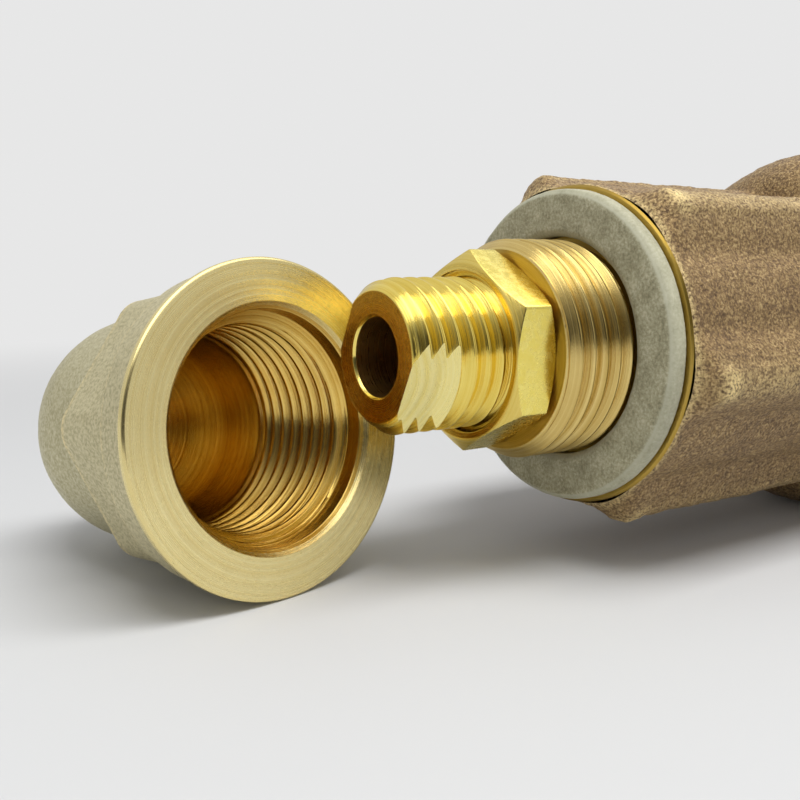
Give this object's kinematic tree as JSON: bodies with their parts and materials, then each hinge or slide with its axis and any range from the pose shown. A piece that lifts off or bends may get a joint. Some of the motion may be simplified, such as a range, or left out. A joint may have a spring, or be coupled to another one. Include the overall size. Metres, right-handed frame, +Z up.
{
  "type": "relief valve with loose cap",
  "caption": "Spring-loaded threaded relief valve lying on its side, its domed screw-on cap off beside it, showing the lock nut and hollow adjusting screw.",
  "frame": {"origin": "centre of the inlet thread's open end, on the valve's axis", "axes": "+X along the valve's axis from the cap end to the inlet, +Z up as the valve lies on a table, +Y out of the outlet"},
  "size_m": [0.1898, 0.087, 0.0561],
  "materials": {
    "cast_brass": "sand-cast pale brass, satin, with a turned flange face",
    "bright_brass": "turned and lightly polished",
    "dull_brass": "turned, slightly tarnished",
    "cast_bronze": "rough sand-cast bronze, matte and grainy, with a turned brass-coloured boss",
    "fibre": "mottled grey-green pressed fibre with pale worn edges",
    "stainless": "turned stainless steel",
    "spring_steel": "oiled spring steel",
    "ptfe": "smooth white fluoropolymer",
    "copper": "soft annealed copper"
  },
  "bodies": {
    "valve": {"bonnet": "cast_bronze", "bonnet_gasket": "fibre", "guide_plate": "dull_brass", "body": "cast_bronze", "nozzle": "dull_brass", "nozzle_gasket": "copper", "drain_plug": "bright_brass", "drain_gasket": "copper", "spring": "spring_steel"},
    "set_stack": {"upper_spring_plate": "dull_brass", "thrust_washer": "stainless"},
    "adjusting_screw": {"adjusting_screw": "bright_brass"},
    "lock_nut": {"lock_nut": "bright_brass"},
    "moving_disc": {"disc_holder": "stainless", "disc_seal": "ptfe", "seal_retainer": "stainless", "seal_screw": "stainless", "thrust_ball": "stainless", "spindle": "stainless", "lower_spring_plate": "dull_brass", "plate_clip": "spring_steel"},
    "cap_gasket": {"cap_gasket": "fibre"},
    "cap": {"cap": "cast_brass"}
  },
  "joints": [
    {"name": "set_travel", "type": "slide", "parent": "valve", "child": "set_stack", "axis": [1, 0, 0], "range_m": [-0.003, 0.004]},
    {"name": "screw_turn", "type": "hinge", "parent": "set_stack", "child": "adjusting_screw", "pos_m": [-0.134, 0, 0], "axis": [1, 0, 0], "range_deg": [-541, 721]},
    {"name": "nut_turn", "type": "hinge", "parent": "valve", "child": "lock_nut", "pos_m": [-0.146, 0, 0], "axis": [-1, 0, 0], "range_deg": [0, 360]},
    {"name": "disc_lift", "type": "slide", "parent": "valve", "child": "moving_disc", "axis": [-1, 0, 0], "range_m": [0, 0.0045], "stiffness_N_per_m": 2000, "springref_m": -0.005, "deforming": ["spring"]},
    {"name": "gasket_slide", "type": "slide", "parent": "valve", "child": "cap_gasket", "axis": [-1, 0, 0], "range_m": [0, 0.012]},
    {"name": "cap_lift", "type": "slide", "parent": "valve", "child": "cap", "axis": [-0.0262, 0.1137, 0.9932], "range_m": [0, 0.06]}
  ],
  "couplings": [
    {"joint": "screw_turn", "follows": "set_travel", "rad_per_m": 3141.6}
  ]
}
